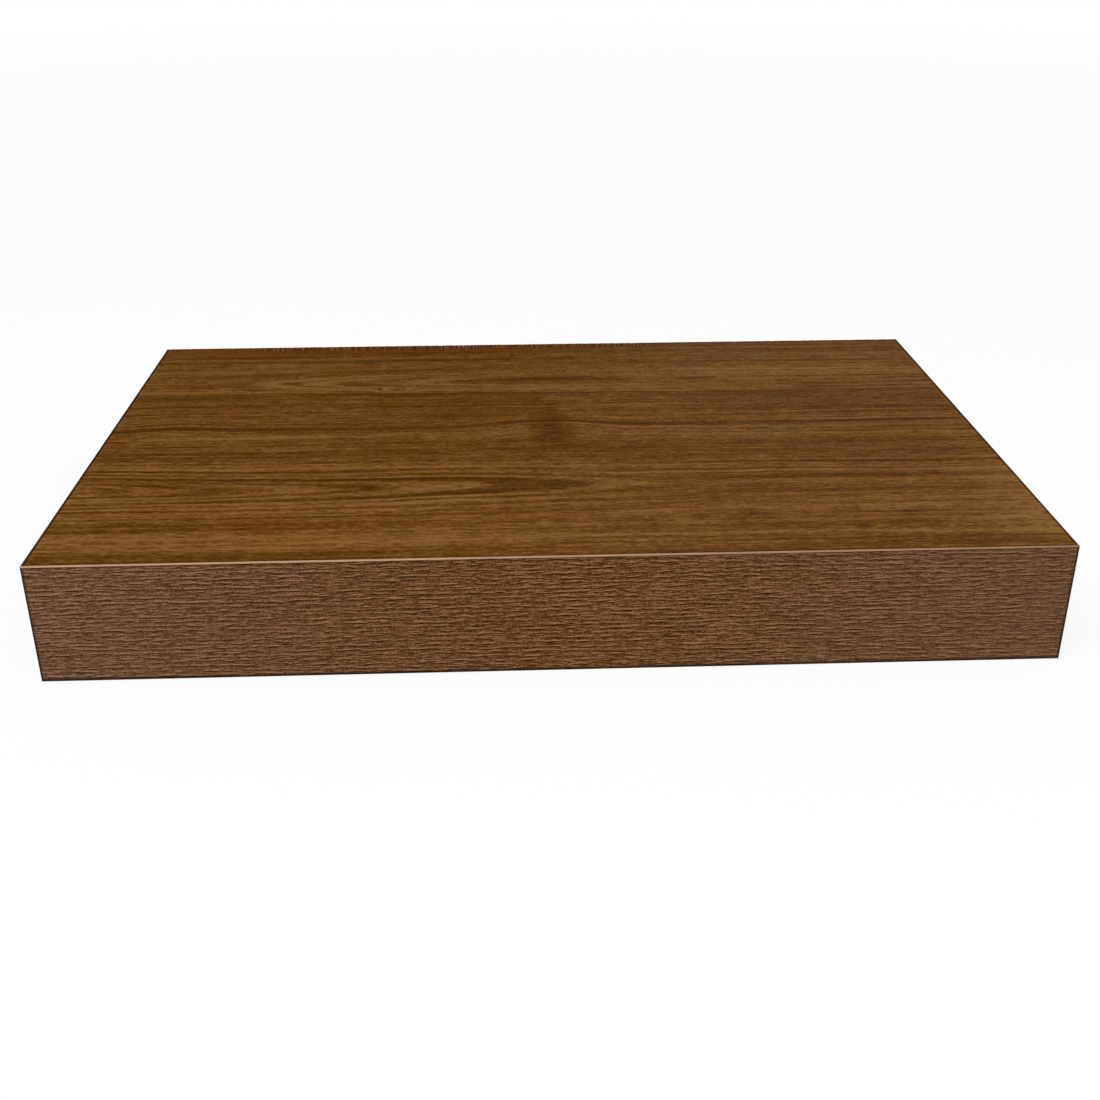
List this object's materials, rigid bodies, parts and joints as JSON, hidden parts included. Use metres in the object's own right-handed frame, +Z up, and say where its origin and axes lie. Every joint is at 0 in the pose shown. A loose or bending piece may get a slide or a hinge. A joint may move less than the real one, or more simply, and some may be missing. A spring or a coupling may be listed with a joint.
{
  "type": "wall shelf",
  "caption": "Thick hollow-core wall shelf with walnut decor and an embossed front band, sliding onto a hidden steel rod bracket and locked from below.",
  "frame": {"origin": "centre of the wall plate's back face, on the wall plane at the shelf's mid height and mid length", "axes": "+X along the shelf's length to the right, +Y into the wall, +Z up; the shelf reaches out from the wall along -Y"},
  "size_m": [0.4, 0.26, 0.05],
  "materials": {
    "decor_foil": "printed walnut decor, sealed, satin",
    "hardboard": "dense brown fibreboard, raw sawn edges",
    "front_band": "woodgrain-embossed edge band, satin",
    "side_band": "woodgrain-embossed edge band, satin",
    "chipboard": "raw chipboard",
    "pine": "planed softwood",
    "beech": "turned hardwood",
    "kraft_paper": "unbleached paper honeycomb",
    "zinc_plated_steel": "bright zinc plate",
    "insert_brass": "turned brass",
    "black_steel": "black oxide"
  },
  "bodies": {
    "bracket": {"wall_plate": "zinc_plated_steel", "left_rod": "zinc_plated_steel", "right_rod": "zinc_plated_steel"},
    "shelf": {"top_foil": "decor_foil", "top_skin": "hardboard", "bottom_foil": "decor_foil", "bottom_skin": "hardboard", "front_edge_band": "front_band", "left_edge_band": "side_band", "right_edge_band": "side_band", "front_rail": "chipboard", "left_rail": "chipboard", "right_rail": "chipboard", "back_rail": "pine", "left_rib": "pine", "right_rib": "pine", "front_dowels": "beech", "rib_dowels": "beech", "left_corner_dowels": "beech", "right_corner_dowels": "beech", "left_honeycomb": "kraft_paper", "centre_honeycomb": "kraft_paper", "right_honeycomb": "kraft_paper", "left_lock_insert": "insert_brass", "right_lock_insert": "insert_brass"},
    "left_lock": {"left_lock_screw": "black_steel"},
    "right_lock": {"right_lock_screw": "black_steel"}
  },
  "joints": [
    {"name": "shelf_slide", "type": "slide", "parent": "bracket", "child": "shelf", "axis": [0, -1, 0], "range_m": [0, 0.16]},
    {"name": "left_lock_turn_out", "type": "slide", "parent": "shelf", "child": "left_lock", "axis": [0, 0, -1], "range_m": [0, 0.0035]},
    {"name": "right_lock_turn_out", "type": "slide", "parent": "shelf", "child": "right_lock", "axis": [0, 0, -1], "range_m": [0, 0.0035]}
  ]
}
